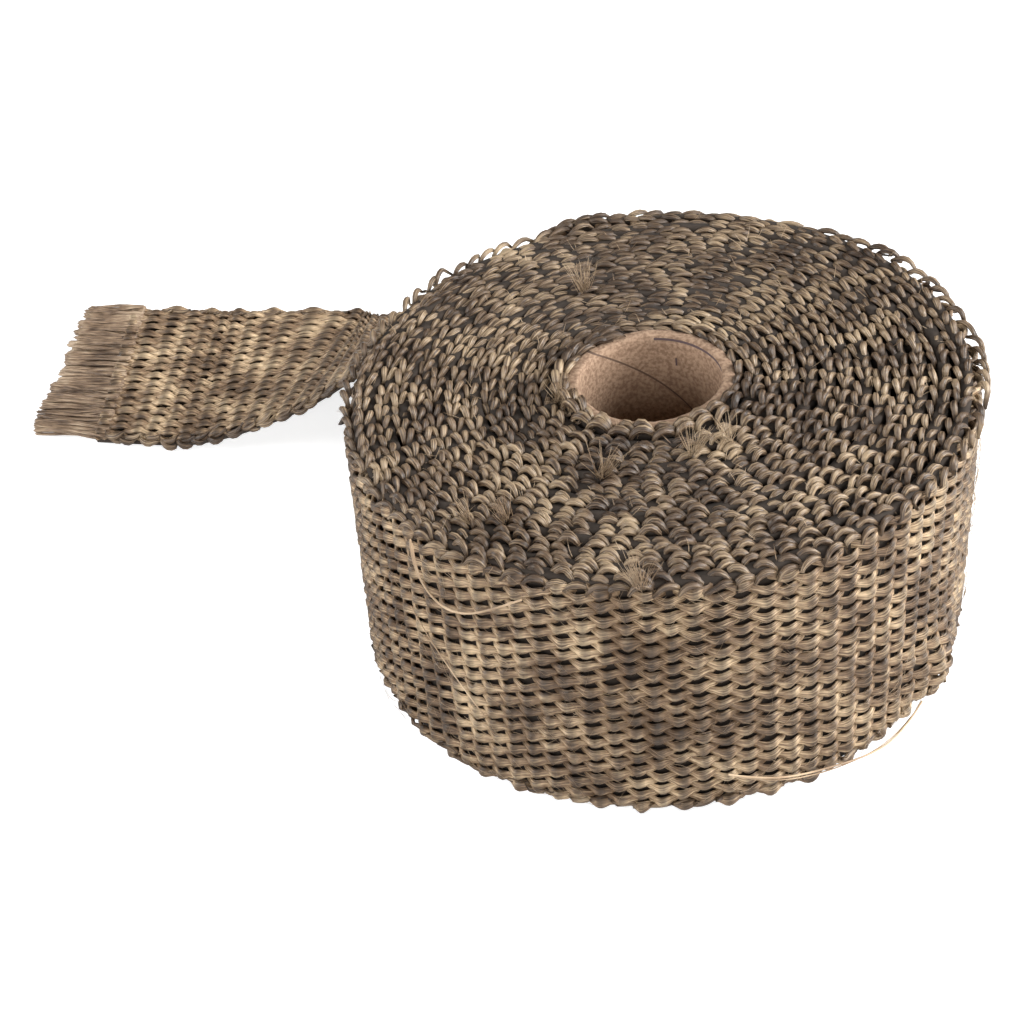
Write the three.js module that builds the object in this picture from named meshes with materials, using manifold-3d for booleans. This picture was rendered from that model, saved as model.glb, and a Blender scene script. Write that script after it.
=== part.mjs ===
// Exhaust heat wrap: a long woven tape wound on a short cardboard tube.
// The roll stands on end with its axis vertical. The tape's free end leaves the back of the roll,
// turns over until it lies flat on the floor, and ends in a short fringe.
// Millimetres, +Z up. Lengths are worked from the roll's own axis, then the whole part is moved so
// that the middle of its base is the origin.
import * as THREE from 'three';
import { mergeVertices } from 'three/addons/utils/BufferGeometryUtils.js';
import Module from 'manifold-3d';

// Tape
const tapeWidth = 50;
const tapeThickness = 2.4;

// Cardboard tube that the tape is wound on, cut to the tape's width
const coreOuterRadius = 14;
const coreWall = 2;
const coreLength = tapeWidth;

// Wound roll
const woundClearance = 0.3;
const turnCount = 13;
const rollRadius = 53.5;
const edgeCrestWidth = 1.3;
const edgeGrooveDepth = 1.6;
const roundSegments = 40;

// Outermost turn and tail, seen from above. Angles run from +X towards +Y.
const strapStartAngle = -40;
const leaveAngle = 90;
const strapStartSink = 2.0;
const strapEdgeInset = 0.2;
const strapLengthSegments = 44;
const strapWidthSegments = 6;

// Tail: plan points of its top edge after it leaves the roll. The tape starts to turn over gently,
// does most of its turn behind the roll, and lies flat from flatAtX on.
const tailEdgePlan = [[-24, 52.8], [-46, 52.0], [-64, 52.0], [-80, 54.8], [-98, 57.2], [-114, 60.4]];
const gentleUntilX = -25;
const flatAtX = -98;
const turnEase = 1.65;

// Fringe of loose warp ends beyond the last weft
const fringeLength = 16;
const fringeThickness = 1.6;

// The cut across the end isn't square: the lower edge runs on past the top edge by this much,
// and the slant fades out over the last stretch of the tail.
const cutSlant = 5.5;
const slantFade = 40;

const radians = (degrees) => degrees * Math.PI / 180;

const wasm = await Module();
wasm.setup();

// Geometry to a closed manifold solid.
function toSolid(geometry) {
  const bare = geometry.clone();
  bare.deleteAttribute('normal');
  bare.deleteAttribute('uv');
  const merged = mergeVertices(bare, 1e-4);
  return new wasm.Manifold(new wasm.Mesh({
    numProp: 3,
    vertProperties: new Float32Array(merged.attributes.position.array),
    triVerts: new Uint32Array(merged.index.array),
  }));
}

// Solid back to a three.js geometry.
function toGeometry(solid) {
  const mesh = solid.getMesh();
  const geometry = new THREE.BufferGeometry();
  geometry.setAttribute('position', new THREE.BufferAttribute(new Float32Array(mesh.vertProperties), 3));
  geometry.setIndex(new THREE.BufferAttribute(new Uint32Array(mesh.triVerts), 1));
  geometry.computeVertexNormals();
  return geometry;
}

// Lathe about +Z from a closed list of [radius, height] points.
function turned(points) {
  const profile = points.map(([radius, height]) => new THREE.Vector2(radius, height));
  profile.push(profile[0].clone());
  const geometry = new THREE.LatheGeometry(profile, roundSegments);
  geometry.rotateX(Math.PI / 2);
  return geometry;
}

// Cardboard tube, open at both ends.
function coreGeometry() {
  const inner = coreOuterRadius - coreWall;
  return turned([
    [inner, 0],
    [coreOuterRadius, 0],
    [coreOuterRadius, coreLength],
    [inner, coreLength],
  ]);
}

// Wound body: a ring with a crest for each turn's edge and a groove between turns, on both ends.
function woundProfile() {
  const bore = coreOuterRadius + woundClearance;
  const pitch = (rollRadius - bore) / turnCount;
  const side = (pitch - edgeCrestWidth) / 2;
  const bottom = [];
  for (let turn = 0; turn < turnCount; turn += 1) {
    const inner = bore + turn * pitch;
    bottom.push([inner, edgeGrooveDepth]);
    bottom.push([inner + side, 0]);
    bottom.push([inner + side + edgeCrestWidth, 0]);
  }
  bottom.push([rollRadius, edgeGrooveDepth]);
  const top = bottom.map(([radius, height]) => [radius, tapeWidth - height]).reverse();
  return bottom.concat(top);
}

// Plan line of the strap's top edge: along the roll's last part turn, then off along the tail.
function strapPlan() {
  const points = [];
  const edgeRadius = rollRadius;
  for (let angle = strapStartAngle; angle < leaveAngle; angle += 10) {
    const along = (angle - strapStartAngle) / (leaveAngle - strapStartAngle);
    const radius = edgeRadius - strapStartSink * (1 - along);
    points.push(new THREE.Vector3(radius * Math.cos(radians(angle)), radius * Math.sin(radians(angle)), 0));
  }
  points.push(new THREE.Vector3(0, edgeRadius, 0));
  tailEdgePlan.forEach(([x, y]) => points.push(new THREE.Vector3(x, y, 0)));
  const last = points[points.length - 1];
  const before = points[points.length - 2];
  const ahead = last.clone().sub(before).normalize();
  points.push(last.clone().addScaledVector(ahead, fringeLength));
  return new THREE.CatmullRomCurve3(points, false, 'centripetal');
}

// How far the tape has turned over: 0 on edge against the roll, a right angle flat on the floor.
function turnedOver(x) {
  const share = (limit) => Math.min(1, Math.max(0, x / limit));
  const started = share(gentleUntilX);
  const gentle = started * started * (3 - 2 * started);
  return Math.PI / 2 * gentle * (1 - Math.pow(1 - share(flatAtX), turnEase));
}

// Last part turn, tail and fringe in one strap, bent from a flat box.
// The box runs along X by arc length share, across Y from the lower edge to the top edge.
function strapGeometry() {
  const plan = strapPlan();
  const length = plan.getLength();
  const box = new THREE.BoxGeometry(1, tapeWidth, 1, strapLengthSegments, strapWidthSegments, 1);
  const position = box.attributes.position;
  const up = new THREE.Vector3(0, 0, 1);
  for (let i = 0; i < position.count; i += 1) {
    const along = position.getX(i) + 0.5;
    const fromTopEdge = tapeWidth / 2 - position.getY(i);
    const edge = plan.getPointAt(along);
    const ahead = plan.getTangentAt(along);
    const outward = new THREE.Vector3(ahead.y, -ahead.x, 0);
    const over = turnedOver(edge.x);
    const toEnd = (1 - along) * length;
    const inFringe = toEnd < fringeLength * 0.8;
    const thickness = inFringe ? fringeThickness : tapeThickness;
    const flat = Math.sin(over);
    const inset = strapEdgeInset * (1 - flat);
    const width = (tapeWidth - 2 * inset) / tapeWidth;
    const across = outward.clone().multiplyScalar(flat).addScaledVector(up, -Math.cos(over));
    const face = outward.clone().multiplyScalar(Math.cos(over)).addScaledVector(up, flat);
    const edgeHeight = tapeThickness / 2 * flat + (tapeWidth - inset) * Math.cos(over);
    const point = new THREE.Vector3(edge.x, edge.y, edgeHeight);
    point.addScaledVector(across, fromTopEdge * width);
    const slant = Math.max(0, 1 - toEnd / slantFade) * cutSlant;
    point.addScaledVector(ahead, slant * fromTopEdge / tapeWidth);
    point.addScaledVector(face, position.getZ(i) * thickness);
    position.setXYZ(i, point.x, point.y, point.z);
  }
  return box;
}

function material(name, color, roughness) {
  return new THREE.MeshStandardMaterial({ name, color, roughness, metalness: 0 });
}

const wound = toSolid(turned(woundProfile()));
const strap = toSolid(strapGeometry());
const tape = new THREE.Mesh(toGeometry(wound.add(strap)), material('tape', 0x96856b, 0.85));
tape.name = 'wrap_tape';

const core = new THREE.Mesh(toGeometry(toSolid(coreGeometry())), material('core', 0xaf9176, 0.9));
core.name = 'cardboard_core';

const group = new THREE.Group();
group.name = 'exhaust_heat_wrap';
group.add(core, tape);

// The middle of the base becomes the origin.
const bounds = new THREE.Box3().setFromObject(group);
const middle = bounds.getCenter(new THREE.Vector3());
group.position.set(-middle.x, -middle.y, -bounds.min.z);

export default group;
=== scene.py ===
# %% [markdown]
# # Exhaust heat wrap
# A roll of coarse woven tape stands on end. One long tape is wound about thirteen times round a
# cardboard tube, and its free end leaves the back of the roll, turns over and lies flat on the floor.
# The solid model gives the sizes. This file dresses it with real yarns: each yarn is a thin tube that
# is first described on the flat tape, and then carried onto the wound roll.

# %% Load the solid roll
import math
import bmesh
import bpy
import numpy as np
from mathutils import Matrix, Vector


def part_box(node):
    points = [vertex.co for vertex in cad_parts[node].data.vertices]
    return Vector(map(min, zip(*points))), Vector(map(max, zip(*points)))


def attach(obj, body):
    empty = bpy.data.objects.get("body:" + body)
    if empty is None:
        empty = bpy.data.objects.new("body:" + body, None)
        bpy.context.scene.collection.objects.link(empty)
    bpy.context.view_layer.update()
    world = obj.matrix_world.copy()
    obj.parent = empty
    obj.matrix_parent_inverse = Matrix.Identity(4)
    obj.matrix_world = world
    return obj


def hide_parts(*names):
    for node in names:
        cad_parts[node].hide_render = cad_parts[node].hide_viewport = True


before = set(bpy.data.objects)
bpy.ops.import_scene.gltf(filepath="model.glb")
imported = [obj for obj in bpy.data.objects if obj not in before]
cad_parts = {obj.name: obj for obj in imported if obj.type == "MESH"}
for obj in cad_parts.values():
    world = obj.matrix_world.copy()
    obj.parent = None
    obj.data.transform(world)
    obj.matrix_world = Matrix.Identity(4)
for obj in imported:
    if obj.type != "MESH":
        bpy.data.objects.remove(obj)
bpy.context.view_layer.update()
core_low, core_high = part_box("cardboard_core")
AXIS = Vector(((core_low[0] + core_high[0]) / 2, (core_low[1] + core_high[1]) / 2, 0))
print("roll axis at", [round(value, 4) for value in AXIS])

# %% [markdown]
# ## Sizes of the tape
# Everything is in metres. The tape is a plain weave: 34 lengthwise yarns, the warp, pass over and
# under crosswise yarns, the weft, which lie one pick apart. `s` is the distance along the tape, zero
# where it leaves the roll, negative on the roll and positive on the free end.

# %% Sizes
MM = 0.001
TAPE_WIDTH = 50 * MM
TAPE_HALF_THICK = 1.25 * MM
PICK = 3.55 * MM
WARP_COUNT = 34
WARP_PITCH = 1.385 * MM
OUTER_RADIUS = 52.4 * MM
TURNS = 12.97
TURN_PITCH = 3.0 * MM
FRINGE = 16 * MM
CUT_SLANT = 5.5 * MM
SLANT_FADE = 40 * MM
CORE_CLEAR_RADIUS = 15.3 * MM
RUN_ON = 22 * MM
GENTLE_UNTIL_X = -25 * MM
FLAT_AT_X = -98 * MM
TURN_EASE = 1.65
WALL_LEAN = 1.2 * MM
OUTER_TURN_FROM = -335 * MM
TAIL_PLAN = [(0, 52.4), (-24, 52.6), (-46, 52.0), (-64, 52.0), (-80, 54.8), (-98, 57.2), (-114, 60.4)]
dice = np.random.default_rng(7)

# %% [markdown]
# ## Where the tape runs
# Seen from above, the tape's top edge follows a spiral and then the plan points of the free end.
# A table of that line, one row each half millimetre, is enough: every yarn looks its place up in it.
# `over` is how far the tape has turned from standing on edge to lying flat.

# %% The tape's line
def smooth_through(points, step):
    """Catmull-Rom line through plan points, with one row each step, run on past the last point."""
    pts = np.array([points[0]] + points + [points[-1]], float)
    pts[0] = 2 * pts[1] - pts[2]
    pts[-1] = 2 * pts[-2] - pts[-3]
    rows = []
    for i in range(1, len(pts) - 2):
        t = np.arange(0, 1, step / np.linalg.norm(pts[i + 1] - pts[i]))[:, None]
        a, b, c, d = pts[i - 1:i + 3]
        rows.append(0.5 * (2 * b + (c - a) * t + (2 * a - 5 * b + 4 * c - d) * t**2
                           + (3 * b - a - 3 * c + d) * t**3))
    last = pts[-2]
    ahead = (pts[-2] - pts[-3]) / np.linalg.norm(pts[-2] - pts[-3])
    rows.append(last + ahead * np.arange(0, RUN_ON, step)[:, None])
    return np.concatenate(rows)


def step_in(share):
    """How far in a turn has moved after a share of the turn, counted back from its end."""
    late = np.clip((share - 0.88) / 0.12, 0, 1)
    return 0.22 * share + 0.78 * late**2 * (3 - 2 * late)


angle = np.linspace(math.radians(90 - 360 * TURNS), math.radians(90), 9000)[:-1]
turns_back = (math.radians(90) - angle) / (2 * math.pi)
radius = OUTER_RADIUS - TURN_PITCH * (np.floor(turns_back) + step_in(turns_back % 1))
radius = np.maximum(radius, CORE_CLEAR_RADIUS)
spiral = np.stack([radius * np.cos(angle), radius * np.sin(angle)], 1)
tail_line = smooth_through([(x * MM, y * MM) for x, y in TAIL_PLAN], 0.5 * MM)
line = np.concatenate([spiral, tail_line])
run = np.concatenate([[0], np.cumsum(np.linalg.norm(np.diff(line, axis=0), axis=1))])
run -= run[len(spiral)]
heading = np.unwrap(np.arctan2(np.gradient(line[:, 1]), np.gradient(line[:, 0])))
TAPE_START = run[0]
PLAN_END = run[-1] - RUN_ON
print("length on the roll", round(-TAPE_START, 3), "m; woven free end", round(PLAN_END, 3), "m")


def turned_over(x):
    """How far the tape has turned: 0 on edge, a right angle when it lies flat."""
    started = np.clip(x / GENTLE_UNTIL_X, 0, 1)
    gentle = started**2 * (3 - 2 * started)
    return math.pi / 2 * gentle * (1 - (1 - np.clip(x / FLAT_AT_X, 0, 1))**TURN_EASE)


over_table = np.where(run > 0, turned_over(line[:, 0]), 0)

# %% [markdown]
# ## From the flat tape to the roll
# `on_roll` takes points of the flat tape: `s` along it, `v` up from its middle, `w` out from its face.
# The outermost turn isn't perfectly upright, so it leans out a little towards +X at the top, and it
# bulges at one place low on the front. Near the cut end the picks run on at a slant.

# %% Carry flat points onto the roll
BULGE_HEADING = math.radians(57)
BULGE_SIZE = 2.6 * MM
BULGE_TURN = 0.085
BULGE_DOWN = 43 * MM
BULGE_TALL = 6 * MM
SLANT_FROM = 60 * MM


def pushed(s, v):
    """How far the last picks run on towards the fringe: most at the far edge, none at the tips."""
    near = np.interp(s, [PLAN_END - SLANT_FROM, PLAN_END, PLAN_END + FRINGE], [0, 1, 0])
    return near * (2.2 + 4.8 * np.clip(0.5 - v / TAPE_WIDTH, 0, 1)) * MM


def on_roll(s, v, w):
    """Places in space for points of the flat tape."""
    s = s + pushed(s, v)
    x = np.interp(s, run, line[:, 0])
    y = np.interp(s, run, line[:, 1])
    turn = np.interp(s, run, heading)
    over = np.interp(s, run, over_table)
    ahead = np.stack([np.cos(turn), np.sin(turn), 0 * turn], 1)
    out = np.stack([np.sin(turn), -np.cos(turn), 0 * turn], 1)
    up = np.array([0, 0, 1.0])
    flat = np.sin(over)[:, None]
    edge = np.cos(over)[:, None]
    across = out * flat - up * edge
    face = out * edge + up * flat
    top = np.stack([x, y, TAPE_HALF_THICK * flat[:, 0] + TAPE_WIDTH * edge[:, 0]], 1)
    lean = WALL_LEAN * np.cos(turn - math.pi / 2) * 2 * v / TAPE_WIDTH
    lean *= np.clip(1 + (s + 0.33) / 0.2, 0, 1) * np.clip(1 - s / 0.02, 0, 1)
    from_top = TAPE_WIDTH / 2 - v
    outer = np.clip((s + 0.31) / 0.01, 0, 1)
    off = 2 - 2 * np.cos(turn - BULGE_HEADING)
    bulge = BULGE_SIZE * np.exp(-off / BULGE_TURN**2 - ((from_top - BULGE_DOWN) / BULGE_TALL)**2)
    w = w + outer * bulge
    slant = np.clip(1 - (PLAN_END + FRINGE - s) / SLANT_FADE, 0, 1.2) * CUT_SLANT * from_top / TAPE_WIDTH
    place = top + across * from_top[:, None] + face * (w + lean)[:, None] + ahead * slant[:, None]
    return place + np.array(AXIS)


def drift(s, seed, size, longest=60 * MM):
    """Slow random wandering along the tape, different for each seed."""
    seed = np.asarray(seed, float)
    total = 0
    for i, share in enumerate((1.0, 0.6, 0.45)):
        wave = longest / (1.9**i) * (1 + 0.2 * np.sin(seed * 12.9898 + i))
        start = 6.28 * np.modf(np.sin(seed * 78.233 + i * 37.7) * 4375.85)[0]
        total = total + share * np.sin(2 * math.pi * s / wave + start)
    return size * total / 1.3

# %% [markdown]
# ## Making many yarns at once
# A yarn starts as a flat grid strip, copied by an Array modifier into a stack of strips. One function
# then rolls every strip into a tube and lays it in place, with all of its points moved together by
# numpy. The seam where a strip's long sides meet is merged, so each yarn is a closed tube.

# %% Strips and yarns
SEAM_GAP = 1e-6


def strip_stack(name, count, rings, sides):
    """Flat strips in a stack, rings squares long and sides squares wide, one for each yarn."""
    bm = bmesh.new()
    bm.loops.layers.uv.new("yarn")
    bmesh.ops.create_grid(bm, x_segments=rings, y_segments=sides, size=0.5, calc_uvs=True)
    mesh = bpy.data.meshes.new(name)
    bm.to_mesh(mesh)
    bm.free()
    piece = bpy.data.objects.new(name, mesh)
    bpy.context.collection.objects.link(piece)
    copies = piece.modifiers.new("copies", "ARRAY")
    copies.count = count
    copies.use_relative_offset = False
    copies.use_constant_offset = True
    copies.constant_offset_displace = (0, 2, 0)
    bpy.context.view_layer.update()
    seen = piece.evaluated_get(bpy.context.evaluated_depsgraph_get())
    full = bpy.data.meshes.new_from_object(seen)
    piece.modifiers.clear()
    piece.data = full
    return piece


def finish_mesh(piece):
    """Merge the seams, turn every face outwards and shade it smooth."""
    bm = bmesh.new()
    bm.from_mesh(piece.data)
    bmesh.ops.remove_doubles(bm, verts=bm.verts, dist=SEAM_GAP)
    bmesh.ops.recalc_face_normals(bm, faces=bm.faces)
    bm.to_mesh(piece.data)
    bm.free()
    piece.data.polygons.foreach_set("use_smooth", [True] * len(piece.data.polygons))
    piece.data.update()


def lay_strips(piece, place, yarn_length):
    """place(along, which, around) gives each point, and may add how high it rides on the weave."""
    mesh = piece.data
    flat = np.empty(len(mesh.vertices) * 3)
    mesh.vertices.foreach_get("co", flat)
    flat = flat.reshape(-1, 3)
    along = np.clip(flat[:, 0] + 0.5, 0, 1)
    which = np.floor((flat[:, 1] + 0.6) / 2)
    around = flat[:, 1] + 0.5 - 2 * which
    spot = place(along, which, around)
    crest = np.zeros(len(flat))
    if isinstance(spot, tuple):
        spot, crest = spot
    mesh.vertices.foreach_set("co", spot.ravel())
    mesh.attributes.new("crest", "FLOAT", "POINT").data.foreach_set("value", crest)
    uv = np.empty(len(mesh.loops) * 2)
    layer = mesh.uv_layers[0].data
    layer.foreach_get("uv", uv)
    uv = uv.reshape(-1, 2)
    corner = np.empty(len(mesh.loops), int)
    mesh.loops.foreach_get("vertex_index", corner)
    uv[:, 0] = along[corner] * yarn_length / (10 * MM)
    uv[:, 1] += which[corner] * 1.37
    layer.foreach_set("uv", uv.ravel())
    finish_mesh(piece)
    print(piece.name, "triangles", sum(len(face.vertices) - 2 for face in mesh.polygons))

# %% [markdown]
# ## The warp
# Each warp yarn rises over one pick and dives under the next, and its neighbour does the opposite.
# It is a loose bundle of fibres, so it spreads wide where it floats on the face and is pinched where
# it dives between two picks. That gives the brick pattern of pointed humps with dark slits.

# %% Warp yarns
def warp_place(first, last, first_yarn, every, loft):
    """Yarns from first to last along the tape; loft is how far they rise and dive."""
    row_count = int(round((last - first) / PICK)) + 3
    plump = 1 + 0.13 * dice.standard_normal((WARP_COUNT, row_count))

    def place(along, which, around):
        yarn_number = first_yarn + every * which
        s = first + along * (last - first)
        pick = s / PICK + drift(s, 3, 0.10, 90 * MM) + drift(s, yarn_number + 5, 0.06, 22 * MM)
        wave = np.cos(math.pi * (pick + yarn_number))
        crest = np.abs(wave)
        row = np.clip(np.round((s - first) / PICK).astype(int), 0, row_count - 1)
        fat = plump[yarn_number.astype(int), row]
        half_wide = (0.74 + (0.46 - 0.08 * loft) * crest) * MM * (1 + (fat - 1) * crest)
        half_thick = (0.42 + 0.12 * crest) * MM
        lift = loft * np.where(wave > 0, 0.88 * crest**1.1, -1.35 * crest**2.2) * MM
        lift = lift + drift(s, yarn_number + 60, 0.10 * MM, 30 * MM)
        v = (yarn_number - (WARP_COUNT - 1) / 2) * WARP_PITCH + drift(s, 9, 0.35 * MM, 120 * MM)
        v = v + drift(s, yarn_number + 100, 0.15 * MM, 40 * MM) + 0.14 * MM * np.sin(2 * math.pi * pick)
        ends = np.clip(np.minimum(along, 1 - along) * (last - first) / (1.2 * MM), 0, 1)
        turn = 2 * math.pi * around
        spot = on_roll(s, v + half_wide * ends * np.cos(turn), lift + half_thick * ends * np.sin(turn))
        return spot, crest * (wave > 0)
    return place


ROLL_FROM = -345 * MM
ROLL_TO = 4 * MM
WALL_PICKS = round(-ROLL_FROM / PICK)
wall_warps = []
for first_yarn, half_name in ((0, "even"), (1, "odd")):
    half = strip_stack(f"tape_wall_warp_{half_name}", WARP_COUNT // 2, WALL_PICKS * 6, 6)
    lay_strips(half, warp_place(ROLL_FROM, ROLL_TO, first_yarn, 2, 1.0), ROLL_TO - ROLL_FROM)
    wall_warps.append(half)
TAIL_TO = PLAN_END + 1.5 * MM
TAIL_PICKS = round(TAIL_TO / PICK)
tail_warp = strip_stack("tape_tail_warp", WARP_COUNT, TAIL_PICKS * 6, 6)
lay_strips(tail_warp, warp_place(0.0, TAIL_TO, 0, 1, 0.68), TAIL_TO)

# %% [markdown]
# ## The knitted edges
# A narrow loom closes each edge with a chain of loops, one loop a pick. Seen from above it is a row
# of V shapes: two arms start wide, arch up and meet in the middle, and then dip under the next loop.
# Two long yarns make each chain, and each runs the whole length of the tape. The loops round the
# core are larger, those at the back of the roll lie lower, and those on the tail are calm and small.

# %% Edge chains
ARM = 0.68
TAPE_PICKS = int((PLAN_END - TAPE_START) / PICK)


def loose_rim(s):
    """Where the outermost edge loops stand away from the roll, by angle round the roll."""
    turn = np.interp(s, run, heading) - math.pi / 2
    outer = np.clip((s - OUTER_TURN_FROM) / 0.02, 0, 1) * np.clip(1 - s / 0.03, 0, 1)
    right = 1.3 * np.clip(2.6 * np.cos(turn - 0.15) - 1.6, 0, 1)
    back_left = 1.3 * np.clip(2.2 * np.cos(turn - 2.35) - 1.0, 0, 1)
    return outer * np.maximum(right, back_left)


def chain_zones(base, edge, side):
    """How far each loop is of the first turn, the outer turn, the tail, the loose rim and the back."""
    first = np.clip(1.2 - (base - TAPE_START) / 0.10, 0, 1) * (edge > 0)
    outer = np.clip((base - OUTER_TURN_FROM) / 0.01, 0, 1) * (side > 0)
    calm = np.clip(base / 0.02, 0, 1)
    loose = loose_rim(base) * (1 if side > 0 else 0.2) * (edge > 0)
    low = np.clip(1.3 * np.sin(np.interp(base, run, heading) - math.pi / 2), 0, 1) * (1 - calm)
    return first, outer, calm, loose, low


def chain_place(edge, side):
    """One yarn of a chain: edge is 1 at the top and -1 at the bottom, side is 1 for the outer arm."""
    wild = dice.standard_normal((TAPE_PICKS + 3, 3))
    arch_height = 1.55 if edge > 0 else 1.0

    def path(t):
        k = np.clip(np.floor(t + 1e-5), 0, TAPE_PICKS - 1)
        phase = np.clip(t - k, 0, 1)
        on_arm = phase <= ARM
        q = np.where(on_arm, phase / ARM, 1 - (phase - ARM) / (1 - ARM))
        base = TAPE_START + k * PICK
        first, outer, calm, loose, low = chain_zones(base, edge, side)
        held = np.clip(1 - loose, 0, 1)
        jitter = wild[k.astype(int)]
        length = 1.06 + 0.26 * low
        reach = np.where(on_arm, length * q, 1 + (length - 1) * q)
        reach = reach * (1 + 0.3 * first) + 0.12 * jitter[:, 2]
        s = base + reach * PICK + drift(base, 31 * edge + 2, 0.5 * MM, 50 * MM)
        arch = np.sin(math.pi * np.clip(q, 0, 1)**0.85)**0.8
        wide = (0.95 + 0.16 * jitter[:, 0] + 0.75 * loose - 0.25 * calm) * MM
        w = side * (0.20 * MM + wide * (1 - q**1.3)) + drift(base, 17 * edge, 0.26 * MM, 45 * MM)
        w = w + (0.55 * MM * calm if side < 0 else 0)
        w = w - 0.7 * MM * first - 0.55 * MM * arch * held * on_arm
        high = arch_height - 0.35 * low + (0.25 - 0.1 * low) * jitter[:, 1]
        high = high + 0.5 * first - 0.75 * outer * held - 0.5 * calm
        top = np.where(on_arm, -1.5 + high * arch + 0.2 * q, 0.6 * q - 1.9) + 0.7 * first
        top = top - (1.2 if edge < 0 else 0)
        rise = TAPE_WIDTH / 2 + (top - 0.25) * MM + drift(base, 23 * edge + 1, 0.28 * MM, 35 * MM)
        swell = np.where(on_arm, np.sin(math.pi * q), 0)
        thick = (0.36 + 0.27 * swell) * (1 + 0.3 * first) * MM
        tall = (0.26 + 0.44 * swell * (1 - 0.45 * np.maximum(loose, low))) * (1 + 0.2 * first) * MM
        return s, rise, w, thick, tall

    def place(along, which, around):
        t = along * TAPE_PICKS
        s, rise, w, thick, tall = path(t)
        next_s, next_rise = path(t + 0.01)[:2]
        slope = np.arctan2(next_rise - rise, np.abs(next_s - s) + 1e-9)
        back = np.sign(next_s - s)
        ends = np.clip(np.minimum(along, 1 - along) * TAPE_PICKS * 3, 0, 1)
        turn = 2 * math.pi * around
        above = tall * ends * np.sin(turn)
        s = s - back * np.sin(slope) * above
        return on_roll(s, edge * (rise + np.cos(slope) * above), w + thick * ends * np.cos(turn))
    return place


chains = []
for edge, edge_name in ((1, "top"), (-1, "bottom")):
    for side, side_name in ((1, "outer"), (-1, "inner")):
        chain = strip_stack(f"tape_{edge_name}_edge_{side_name}", 1, TAPE_PICKS * 8, 6)
        lay_strips(chain, chain_place(edge, side), PLAN_END - TAPE_START)
        chains.append(chain)

# %% [markdown]
# ## The weft sheet
# Between the warp yarns lies the weft. Only slivers of it show, in the dark slits, so it is one
# sheet that follows the whole tape from the core to the end. Its near-black colour is painted shade
# for the deep slits. It is a grid, bent onto the roll and given its thickness with a Solidify
# modifier: thin on the tail, thicker where the turns touch.

# %% Weft sheet
WEFT_DEPTH_WOUND = -1.4
WEFT_DEPTH_TAIL = -0.6
WEFT_FADE = [-0.03, 0]
weft = strip_stack("tape_weft", 1, 900, 8)
mesh = weft.data
flat = np.empty(len(mesh.vertices) * 3)
mesh.vertices.foreach_get("co", flat)
flat = flat.reshape(-1, 3)
s = TAPE_START + (flat[:, 0] + 0.5) * (PLAN_END - TAPE_START)
sunk = np.interp(s, WEFT_FADE, [WEFT_DEPTH_WOUND, WEFT_DEPTH_TAIL]) * MM
mesh.vertices.foreach_set("co", on_roll(s, (flat[:, 1] * 48 + 0.4) * MM, sunk).ravel())
finish_mesh(weft)
wound = weft.vertex_groups.new(name="wound")
for index, weight in enumerate(np.interp(s, WEFT_FADE, [1, 0])):
    wound.add([index], weight, "REPLACE")
wall = weft.modifiers.new("thickness", "SOLIDIFY")
wall.thickness = 1.9 * MM
wall.offset = 0
wall.vertex_group = "wound"
wall.thickness_vertex_group = 0.16

# %% [markdown]
# ## The frayed end
# Past the last pick the warp ends lie free. Each breaks up into a lock of thinner strands, which
# spread, cross a little and end unevenly.

# %% Fringe
STRANDS = 8
TUCK = 2.5 * MM
fringe = strip_stack("tape_fringe", WARP_COUNT * STRANDS, 9, 6)
lock_reach = np.repeat(dice.normal(0.9 * MM, 0.5 * MM, WARP_COUNT), STRANDS)
reach = FRINGE + lock_reach + dice.normal(0, 0.22 * MM, WARP_COUNT * STRANDS)
spread = dice.uniform(-1, 1, (WARP_COUNT * STRANDS, 4))


def fringe_place(along, which, around):
    lock = np.floor(which / STRANDS)
    i = which.astype(int)
    start = PLAN_END - TUCK
    along = 0.5 - 0.5 * np.cos(math.pi * along)
    s = start + along * (reach[i] + TUCK)
    free = np.clip(along * 1.6, 0, 1)
    v = (lock - (WARP_COUNT - 1) / 2) * WARP_PITCH * (1 - 0.03 * free)
    v = v + drift(lock * MM, 4, 0.5 * MM, 7 * MM) * free + spread[i, 0] * (0.45 + 0.35 * along) * MM
    v = v + 0.25 * MM * np.sin(5 * along + 6 * spread[i, 2])
    lift = 0.45 * MM * np.cos(math.pi * lock) * (1 - free) + spread[i, 1] * 0.55 * MM
    lift = lift + 0.25 * MM * np.sin(4 * along + 7 * spread[i, 3])
    half = 0.27 * MM * np.clip(np.minimum(along, 1 - along) * 90, 0, 1)
    turn = 2 * math.pi * around
    return on_roll(s, v + 1.9 * half * np.cos(turn), lift + half * np.sin(turn))


lay_strips(fringe, fringe_place, FRINGE)

# %% [markdown]
# ## Loose fibres
# Tufts of broken fibres stand up where the tape has been rubbed, and a few long strands lie across
# the wall. A tuft is a fan of thin hairs from one spot; a long strand follows listed points. Single
# short hairs are strewn over the top.

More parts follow.
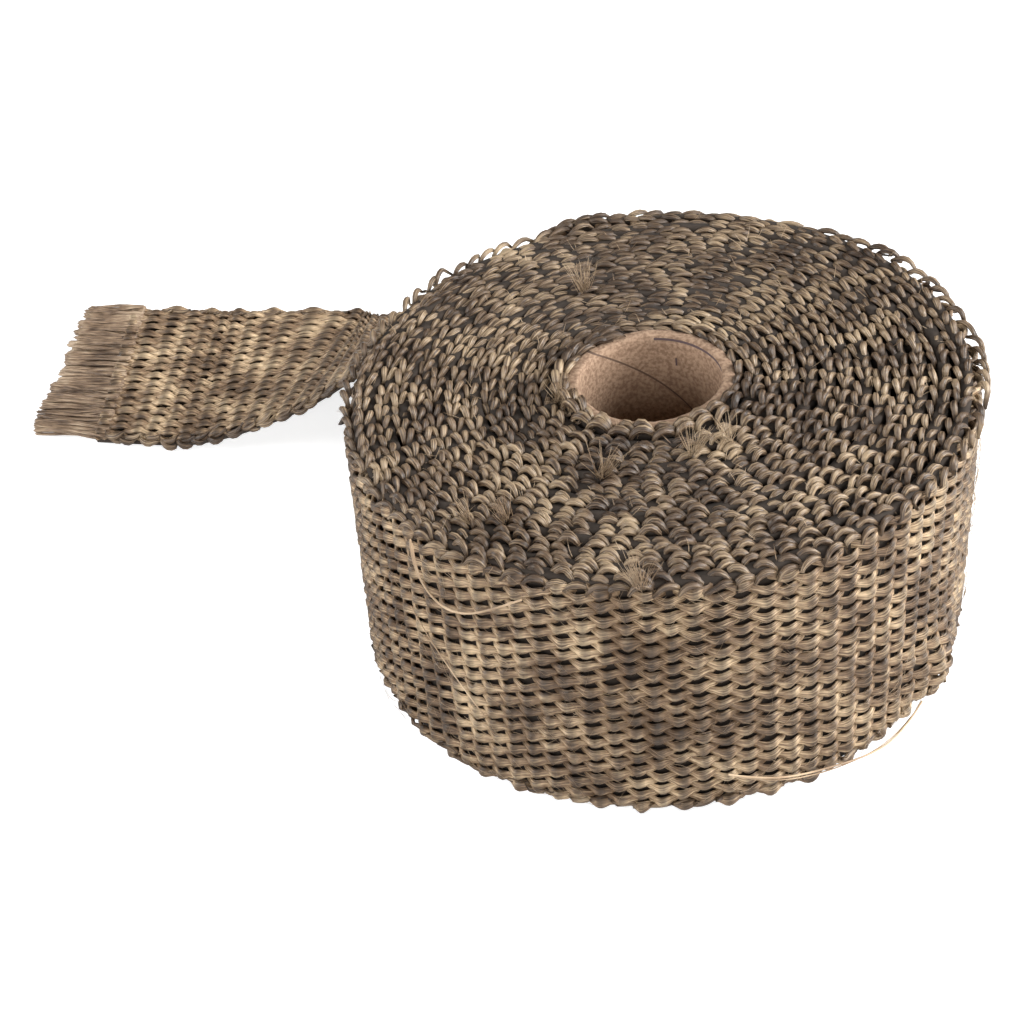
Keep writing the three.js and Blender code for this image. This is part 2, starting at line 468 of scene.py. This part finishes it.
# %% Tufts of hair
# Each tuft is (x, y, number of hairs, length), in millimetres from the roll's axis.
TUFTS = [(-10.6, 28.0, 46, 6.5), (-15.6, -4.1, 50, 6.0), (-9.0, -25.3, 40, 8.0), (5.8, -21.5, 30, 6.5),
         (11.7, -19.2, 30, 7.0), (-29.5, -34.0, 26, 6.0), (-24.0, -34.7, 30, 6.0), (-3.8, -52.6, 40, 6.5)]
TUFT_HEIGHT, STREWN_HEIGHT = 49.2, 49.4
STREWN_HAIRS = 260
hair_root, hair_lean, hair_length = [], [], []
for x, y, count, length in TUFTS:
    side = dice.normal(0, 1, 2)
    for _ in range(count):
        hair_root.append((x + dice.normal(0, 0.35), y + dice.normal(0, 0.35), TUFT_HEIGHT))
        hair_lean.append(dice.normal(0, 0.36, 2) + 0.22 * side)
        hair_length.append(length * dice.uniform(0.5, 1.15))
for _ in range(STREWN_HAIRS):
    turn, far = dice.uniform(0, 2 * math.pi), dice.uniform(16, 52)
    hair_root.append((far * math.cos(turn), far * math.sin(turn), STREWN_HEIGHT))
    hair_lean.append(dice.normal(0, 0.9, 2))
    hair_length.append(dice.uniform(1.2, 3.6))
hair_root, hair_lean = np.array(hair_root), np.array(hair_lean)
hair_length = np.array(hair_length)
hair_bend = dice.normal(0, 0.16, (len(hair_root), 2))


def hair_place(along, which, around):
    i = which.astype(int)
    far = (along * hair_length[i])[:, None]
    lean = hair_lean[i] + hair_bend[i] * along[:, None]
    tall = 1 / np.sqrt(1 + (lean**2).sum(1))
    place = hair_root[i] + np.concatenate([lean * far * tall[:, None], far * tall[:, None]], 1)
    half = 0.085 * (1 - 0.6 * along) * np.clip(np.minimum(along, 1 - along) * 40, 0, 1)
    turn = 2 * math.pi * around
    place = place + np.stack([half * np.cos(turn), half * np.sin(turn), 0 * half], 1)
    return place * MM + np.array(AXIS)


tufts = strip_stack("tape_tufts", len(hair_root), 6, 3)
lay_strips(tufts, hair_place, 8 * MM)

# %% Short fibres that fly off the wall
FLY_COUNT = 520
WALL_RADIUS = 53.5
fly_turn, fly_height = dice.uniform(200, 385, FLY_COUNT), dice.uniform(3, 49, FLY_COUNT)
fly_length, fly_slope = dice.uniform(2.5, 8, FLY_COUNT), dice.normal(0, 0.6, FLY_COUNT)
fly_bow = dice.normal(0, 0.28, FLY_COUNT)


def fly_place(along, which, around):
    i = which.astype(int)
    span = along - 0.5
    far = (WALL_RADIUS + 0.55 * (1 - 4 * span**2)) * MM
    step = fly_length[i] * span
    turn = np.radians(fly_turn[i]) + step * np.cos(fly_slope[i]) / 53
    height = fly_height[i] + step * np.sin(fly_slope[i]) + fly_bow[i] * fly_length[i] * 4 * span**2
    lean = WALL_LEAN * np.cos(turn) * (height / 25 - 1)
    half = 0.042 * MM * np.clip(np.minimum(along, 1 - along) * 40, 0, 1)
    side = 2 * math.pi * around
    far = far + lean + half * np.cos(side)
    height = np.clip(height, 1.5, 50) * MM + half * np.sin(side)
    return np.stack([far * np.cos(turn), far * np.sin(turn), height], 1) + np.array(AXIS)


flyaways = strip_stack("tape_flyaways", FLY_COUNT, 8, 3)
lay_strips(flyaways, fly_place, 8 * MM)

# %% Long loose strands
# Points are (degrees round the roll, height, distance off the wall), in degrees and millimetres,
# and the number after them is the strand's half thickness.
STRAND_BASE_RADIUS = 54.4
LONG_STRANDS = [
    ([(225, 51, 0.4), (226, 47, 1.6), (229, 43, 2.0), (233, 41.3, 2.2), (238, 42.4, 2.0),
      (242, 44.6, 1.2), (246.5, 47, 0.4)], 0.20),
    ([(225.6, 50.6, 0.6), (227, 46, 1.9), (230, 42.6, 2.4), (235, 41.6, 2.4), (240, 43.2, 1.8),
      (245, 46.4, 0.6)], 0.14),
    ([(222, 35.4, 0.5), (228, 29, 1.4), (236, 18.3, 0.5)], 0.10),
    ([(278, 9.6, -0.2), (284, 7.4, 0.5), (290, 6.2, 0.8), (297, 5.2, 0.8), (304, 3.6, 1.0),
      (311, 3.2, 1.2), (318, 6.0, 0.4)], 0.18),
    ([(279, 9.0, -0.2), (285, 6.6, 0.6), (291, 5.4, 0.8), (299, 4.0, 0.8), (309, 3.0, 0.9),
      (315, 4.6, 0.3)], 0.11),
]


def wall_strand(points, half):
    """A smooth curve just off the wall, as a round strand."""
    curve = bpy.data.curves.new("strand", "CURVE")
    curve.dimensions = "3D"
    curve.bevel_depth = half * MM
    curve.bevel_resolution = 1
    curve.resolution_u = 6
    curve.use_fill_caps = True
    spline = curve.splines.new("NURBS")
    spline.points.add(len(points) - 1)
    spline.use_endpoint_u = True
    spline.order_u = 4 if len(points) > 3 else 3
    for knot, (turn, height, off) in zip(spline.points, points):
        far = (STRAND_BASE_RADIUS + off) * MM
        a = math.radians(turn)
        knot.co = (AXIS.x + far * math.cos(a), AXIS.y + far * math.sin(a), height * MM, 1)
    strand = bpy.data.objects.new("strand", curve)
    bpy.context.collection.objects.link(strand)
    bpy.context.view_layer.update()
    made = bpy.data.meshes.new_from_object(strand.evaluated_get(bpy.context.evaluated_depsgraph_get()))
    bpy.data.objects.remove(strand)
    return made


bm = bmesh.new()
for points, half in LONG_STRANDS:
    bm.from_mesh(wall_strand(points, half))
bmesh.ops.recalc_face_normals(bm, faces=bm.faces)
long_mesh = bpy.data.meshes.new("tape_loose_strands")
bm.to_mesh(long_mesh)
bm.free()
if not long_mesh.uv_layers:
    long_mesh.uv_layers.new(name="yarn")
long_strands = bpy.data.objects.new("tape_loose_strands", long_mesh)
bpy.context.collection.objects.link(long_strands)
long_mesh.polygons.foreach_set("use_smooth", [True] * len(long_mesh.polygons))

# %% [markdown]
# ## The cardboard tube
# The tube is wound from strips of card, so a spiral seam runs down its bore and its cut ends show
# soft, uneven layers. A small rectangle is spun round the axis, its rims are set back a little and
# its ends are made wavy, and the whole tube is squeezed very slightly out of round.

# %% Cardboard tube
CORE_OUT, CORE_IN, CORE_TALL = 14 * MM, 12 * MM, 50 * MM
bm = bmesh.new()
corners = [bm.verts.new((r, 0, z)) for r, z in
           ((CORE_IN, 0), (CORE_OUT, 0), (CORE_OUT, CORE_TALL), (CORE_IN, CORE_TALL))]
section = [bm.edges.new((corners[i], corners[(i + 1) % 4])) for i in range(4)]
bmesh.ops.subdivide_edges(bm, edges=[section[1], section[3]], cuts=24)
bmesh.ops.subdivide_edges(bm, edges=[section[0], section[2]], cuts=3)
bmesh.ops.spin(bm, geom=bm.verts[:] + bm.edges[:], cent=(0, 0, 0), axis=(0, 0, 1),
               angle=2 * math.pi, steps=144, use_merge=True)
bmesh.ops.remove_doubles(bm, verts=bm.verts, dist=SEAM_GAP)
for vert in bm.verts:
    a = math.atan2(vert.co.y, vert.co.x)
    r = vert.co.xy.length
    end = vert.co.z > CORE_TALL - 1e-4 or vert.co.z < 1e-4
    rough = 0.10 * math.sin(7 * a + 900 * r) + 0.07 * math.sin(23 * a) + 0.05 * math.sin(41 * a + 3)
    if end:
        inward = -1 if vert.co.z > CORE_TALL / 2 else 1
        rim = min(abs(r - CORE_IN), abs(r - CORE_OUT)) < 1e-4
        vert.co.z += inward * MM * (0.10 + (0.12 if rim else 0) + 0.5 * rough)
    squash = 1 + 0.012 * math.cos(2 * a + 0.6)
    vert.co.x *= squash
    vert.co.y /= squash
bmesh.ops.translate(bm, verts=bm.verts, vec=AXIS)
bmesh.ops.recalc_face_normals(bm, faces=bm.faces)
layer = bm.loops.layers.uv.new("core")
for face in bm.faces:
    middle = face.calc_center_median() - AXIS
    base = math.atan2(middle.y, middle.x)
    for loop in face.loops:
        spot = loop.vert.co - AXIS
        a = math.atan2(spot.y, spot.x)
        a += 2 * math.pi * round((base - a) / (2 * math.pi))
        loop[layer].uv = (a / (2 * math.pi), spot.z / CORE_TALL)
mesh = bpy.data.meshes.new("core_card")
bm.to_mesh(mesh)
bm.free()
mesh.polygons.foreach_set("use_smooth", [True] * len(mesh.polygons))
core = bpy.data.objects.new("core_card", mesh)
bpy.context.collection.objects.link(core)
print("core faces", len(mesh.polygons))

# %% [markdown]
# ## Finishes
# The yarn is a bundle of fine fibres. Its UV map runs along the yarn, so noise stretched along U
# gives streaks that follow the fibres, in colour and in height. Large soft noise on Object
# coordinates varies the tone over the roll.

# %% Yarn material
def new_material(name):
    material = bpy.data.materials.new(name)
    material.use_nodes = True
    nodes = material.node_tree.nodes
    return material, nodes, material.node_tree.links, nodes["Principled BSDF"]


def fibre_group():
    """Streaks that run along a yarn: a mask for colour and a height for the bump."""
    group = bpy.data.node_groups.new("fibre streaks", "ShaderNodeTree")
    face = group.interface
    face.new_socket("Fibres", in_out="INPUT", socket_type="NodeSocketFloat").default_value = 9.0
    face.new_socket("Streak", in_out="OUTPUT", socket_type="NodeSocketFloat")
    face.new_socket("Tone", in_out="OUTPUT", socket_type="NodeSocketFloat")
    nodes, links = group.nodes, group.links
    inside = nodes.new("NodeGroupInput")
    outside = nodes.new("NodeGroupOutput")
    uv = nodes.new("ShaderNodeUVMap")
    uv.uv_map = "yarn"
    stretch = nodes.new("ShaderNodeVectorMath")
    stretch.operation = "MULTIPLY"
    scale = nodes.new("ShaderNodeCombineXYZ")
    scale.inputs[0].default_value = 1.6
    links.new(inside.outputs["Fibres"], scale.inputs[1])
    links.new(uv.outputs[0], stretch.inputs[0])
    links.new(scale.outputs[0], stretch.inputs[1])
    streak = nodes.new("ShaderNodeTexNoise")
    streak.inputs["Scale"].default_value = 2.2
    streak.inputs["Detail"].default_value = 5
    links.new(stretch.outputs[0], streak.inputs["Vector"])
    links.new(streak.outputs["Fac"], outside.inputs["Streak"])
    place = nodes.new("ShaderNodeTexCoord")
    tone = nodes.new("ShaderNodeTexNoise")
    tone.inputs["Scale"].default_value = 130
    tone.inputs["Detail"].default_value = 4
    links.new(place.outputs["Object"], tone.inputs["Vector"])
    links.new(tone.outputs["Fac"], outside.inputs["Tone"])
    return group


FIBRES = fibre_group()


def yarn_material(name, dark, middle, light, fibres=9.0, roughness=0.40):
    """Three tones along the fibres, with painted shade on the crests and a painted highlight where yarns
    cross.
    """
    material, nodes, links, shader = new_material(name)
    group = nodes.new("ShaderNodeGroup")
    group.node_tree = FIBRES
    group.inputs["Fibres"].default_value = fibres
    ramp = nodes.new("ShaderNodeValToRGB")
    ramp.color_ramp.elements[0].position = 0.40
    ramp.color_ramp.elements[0].color = (*dark, 1)
    ramp.color_ramp.elements[1].position = 0.61
    ramp.color_ramp.elements[1].color = (*light, 1)
    ramp.color_ramp.elements.new(0.5).color = (*middle, 1)
    blend = nodes.new("ShaderNodeMath")
    blend.operation = "MULTIPLY_ADD"
    blend.inputs[1].default_value = 0.55
    half = nodes.new("ShaderNodeMath")
    half.operation = "MULTIPLY"
    half.inputs[1].default_value = 0.45
    links.new(group.outputs["Tone"], half.inputs[0])
    links.new(group.outputs["Streak"], blend.inputs[0])
    links.new(half.outputs[0], blend.inputs[2])
    links.new(blend.outputs[0], ramp.inputs["Fac"])
    # Painted shade darkens the yarn on its highest crests (scale 0.55) and a painted highlight lightens it
    # on low crests and crossings (scale 1.35).
    high = nodes.new("ShaderNodeAttribute")
    high.attribute_name = "crest"
    crest_shade_and_highlight = nodes.new("ShaderNodeMapRange")
    crest_shade_and_highlight.inputs["From Min"].default_value = 0.62
    crest_shade_and_highlight.inputs["To Min"].default_value = 1.35
    crest_shade_and_highlight.inputs["To Max"].default_value = 0.55
    links.new(high.outputs["Fac"], crest_shade_and_highlight.inputs["Value"])
    tint = nodes.new("ShaderNodeVectorMath")
    tint.operation = "SCALE"
    links.new(ramp.outputs["Color"], tint.inputs[0])
    links.new(crest_shade_and_highlight.outputs["Result"], tint.inputs["Scale"])
    links.new(tint.outputs[0], shader.inputs["Base Color"])
    bump = nodes.new("ShaderNodeBump")
    bump.inputs["Strength"].default_value = 0.8
    bump.inputs["Distance"].default_value = 0.35 * MM
    links.new(group.outputs["Streak"], bump.inputs["Height"])
    links.new(bump.outputs["Normal"], shader.inputs["Normal"])
    shader.inputs["Roughness"].default_value = roughness
    shader.inputs["Specular IOR Level"].default_value = 0.45
    return material


yarn = yarn_material("basalt yarn", (0.060, 0.035, 0.019), (0.190, 0.123, 0.072), (0.50, 0.375, 0.235))
loose_yarn = yarn_material("loose fibre", (0.16, 0.10, 0.06), (0.32, 0.225, 0.14), (0.52, 0.40, 0.27), 4.0)
# The edge chains get a darker copy of the yarn: painted shade that darkens the top of the roll.
edge_yarn_painted_shade = yarn_material("edge yarn in painted shade", (0.022, 0.013, 0.008), (0.090, 0.058, 0.035),
                          (0.29, 0.215, 0.135), 7.0, 0.36)
frayed_yarn = yarn_material("frayed ends", (0.055, 0.034, 0.021), (0.185, 0.125, 0.080),
                            (0.36, 0.275, 0.190), 5.0)

# The weft stands for the real weft, and its near-black colour is painted shade for the deep slits between
# the warp yarns.
weft_painted_shade, nodes, links, shader = new_material("shaded weft")
place = nodes.new("ShaderNodeTexCoord")
grain = nodes.new("ShaderNodeTexNoise")
grain.inputs["Scale"].default_value = 900
ramp = nodes.new("ShaderNodeValToRGB")
ramp.color_ramp.elements[0].color = (0.010, 0.007, 0.005, 1)
ramp.color_ramp.elements[1].color = (0.045, 0.030, 0.020, 1)
links.new(place.outputs["Object"], grain.inputs["Vector"])
links.new(grain.outputs["Fac"], ramp.inputs["Fac"])
links.new(ramp.outputs["Color"], shader.inputs["Base Color"])
shader.inputs["Roughness"].default_value = 0.9

# %% Card material
# The seam climbs with the turn, a thin dark line runs under part of the top rim, and one short dark
# dash stands below it.
SEAM_SLOPE = -0.791
SEAM_AT = 0.595
SEAM_HALF = 0.0035
card, nodes, links, shader = new_material("brown card")
uv = nodes.new("ShaderNodeUVMap")
uv.uv_map = "core"
split = nodes.new("ShaderNodeSeparateXYZ")
links.new(uv.outputs[0], split.inputs[0])
seam = nodes.new("ShaderNodeMath")
seam.operation = "MULTIPLY_ADD"
seam.inputs[1].default_value = SEAM_SLOPE
links.new(split.outputs["Y"], seam.inputs[0])
links.new(split.outputs["X"], seam.inputs[2])
around = nodes.new("ShaderNodeMath")
around.operation = "FRACT"
links.new(seam.outputs[0], around.inputs[0])
near = nodes.new("ShaderNodeMath")
near.operation = "COMPARE"
near.inputs[1].default_value = SEAM_AT
near.inputs[2].default_value = SEAM_HALF
links.new(around.outputs[0], near.inputs[0])


def patch(u, u_half, v, v_half):
    """A mask that is one in a small rectangle of the card's map and nought elsewhere."""
    both = nodes.new("ShaderNodeMath")
    both.operation = "MULTIPLY"
    for slot, axis, middle, half in ((0, "X", u, u_half), (1, "Y", v, v_half)):
        inside = nodes.new("ShaderNodeMath")
        inside.operation = "COMPARE"
        inside.inputs[1].default_value = middle
        inside.inputs[2].default_value = half
        links.new(split.outputs[axis], inside.inputs[0])
        links.new(inside.outputs[0], both.inputs[slot])
    return both


ink_line = patch(0.125, 0.110, 0.984, 0.005)
ink_dash = patch(0.186, 0.0022, 0.894, 0.016)
ink = nodes.new("ShaderNodeMath")
ink.operation = "MAXIMUM"
links.new(ink_line.outputs[0], ink.inputs[0])
links.new(ink_dash.outputs[0], ink.inputs[1])
place = nodes.new("ShaderNodeTexCoord")
blot = nodes.new("ShaderNodeTexNoise")
blot.inputs["Scale"].default_value = 1500
blot.inputs["Detail"].default_value = 8
links.new(place.outputs["Object"], blot.inputs["Vector"])
ramp = nodes.new("ShaderNodeValToRGB")
ramp.color_ramp.elements[0].position = 0.38
ramp.color_ramp.elements[0].color = (0.205, 0.125, 0.078, 1)
ramp.color_ramp.elements[1].position = 0.62
ramp.color_ramp.elements[1].color = (0.35, 0.235, 0.155, 1)
links.new(blot.outputs["Fac"], ramp.inputs["Fac"])
line_mix = nodes.new("ShaderNodeMix")
line_mix.data_type = "RGBA"
line_mix.inputs["B"].default_value = (0.10, 0.06, 0.04, 1)
links.new(near.outputs[0], line_mix.inputs["Factor"])
links.new(ramp.outputs["Color"], line_mix.inputs["A"])
ink_mix = nodes.new("ShaderNodeMix")
ink_mix.data_type = "RGBA"
ink_mix.inputs["B"].default_value = (0.075, 0.048, 0.050, 1)
links.new(ink.outputs[0], ink_mix.inputs["Factor"])
links.new(line_mix.outputs["Result"], ink_mix.inputs["A"])
links.new(ink_mix.outputs["Result"], shader.inputs["Base Color"])
bump = nodes.new("ShaderNodeBump")
bump.inputs["Strength"].default_value = 0.5
bump.inputs["Distance"].default_value = 0.3 * MM
links.new(blot.outputs["Fac"], bump.inputs["Height"])
links.new(bump.outputs["Normal"], shader.inputs["Normal"])
shader.inputs["Roughness"].default_value = 0.85

# %% [markdown]
# ## What stands for what
# Every yarn piece rides on the roll's one body and stands for the tape's solid.

finishes = [*[(half, yarn) for half in wall_warps], (tail_warp, yarn)]
finishes += [(chain, edge_yarn_painted_shade) for chain in chains]
finishes += [(fringe, frayed_yarn), (tufts, loose_yarn), (flyaways, loose_yarn), (long_strands, loose_yarn)]
finishes += [(weft, weft_painted_shade)]
for piece, finish in finishes:
    piece.data.materials.clear()
    piece.data.materials.append(finish)
    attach(piece, "root")
    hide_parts("wrap_tape")
core.data.materials.append(card)
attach(core, "root")
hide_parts("cardboard_core")

# %% [markdown]
# ## Floor, light and camera
# The object is shown on plain white. Two large soft lights stand to the left and right, so the humps
# of the weave catch light on their flanks. A weaker one fills from the front, and the weakest hangs
# above. The camera's place, turn and lens are those of the fitted camera.

# %% Floor
bm = bmesh.new()
bmesh.ops.create_grid(bm, x_segments=1, y_segments=1, size=3)
mesh = bpy.data.meshes.new("floor")
bm.to_mesh(mesh)
bm.free()
floor = bpy.data.objects.new("floor", mesh)
floor.location.z = -0.0005
bpy.context.collection.objects.link(floor)
paper, nodes, links, shader = new_material("white paper")
shader.inputs["Base Color"].default_value = (0.6, 0.6, 0.6, 1)
shader.inputs["Roughness"].default_value = 0.9
shader.inputs["Emission Color"].default_value = (1, 1, 1, 1)
seen = nodes.new("ShaderNodeLightPath")
glow = nodes.new("ShaderNodeMath")
glow.operation = "MULTIPLY"
glow.inputs[1].default_value = 0.75
links.new(seen.outputs["Is Camera Ray"], glow.inputs[0])
links.new(glow.outputs[0], shader.inputs["Emission Strength"])
floor.data.materials.append(paper)

# %% Lights
def softbox(name, place, target, size, power):
    lamp = bpy.data.lights.new(name, "AREA")
    lamp.shape = "RECTANGLE"
    lamp.size, lamp.size_y = size
    lamp.energy = power
    light = bpy.data.objects.new(name, lamp)
    light.location = place
    light.rotation_euler = (Vector(target) - Vector(place)).to_track_quat("-Z", "Y").to_euler()
    bpy.context.collection.objects.link(light)


softbox("left softbox", (-0.82, -0.02, 0.40), (0, 0, 0.02), (0.5, 0.6), 8.0)
softbox("right softbox", (0.82, -0.02, 0.40), (0, 0, 0.02), (0.5, 0.6), 17)
softbox("top softbox", (0.0, 0.40, 0.85), (0, 0, 0), (0.8, 0.6), 1.8)
softbox("front fill", (0.0, -0.85, 0.40), (0, 0, 0.02), (0.9, 0.4), 7.0)
world = bpy.data.worlds.new("studio")
world.use_nodes = True
world.node_tree.nodes["Background"].inputs["Color"].default_value = (1, 1, 1, 1)
world.node_tree.nodes["Background"].inputs["Strength"].default_value = 0.06
bpy.context.scene.world = world
bpy.context.scene.view_settings.view_transform = "Standard"

# %% Camera
camera = bpy.data.objects.new("camera", bpy.data.cameras.new("camera"))
camera.data.sensor_width = 36
camera.data.lens = 74.2
camera.data.clip_start = 0.01
camera.location = AXIS + Vector((0, -287.73, 257.84)) * MM
camera.rotation_euler = [math.radians(turn) for turn in (50.664, 5.967, 0.301)]
bpy.context.collection.objects.link(camera)
bpy.context.scene.camera = camera

# %% [markdown]
# ## Finish
# The dressed roll may stand only a little proud of the solid one.

# %% Finish
bpy.context.view_layer.update()
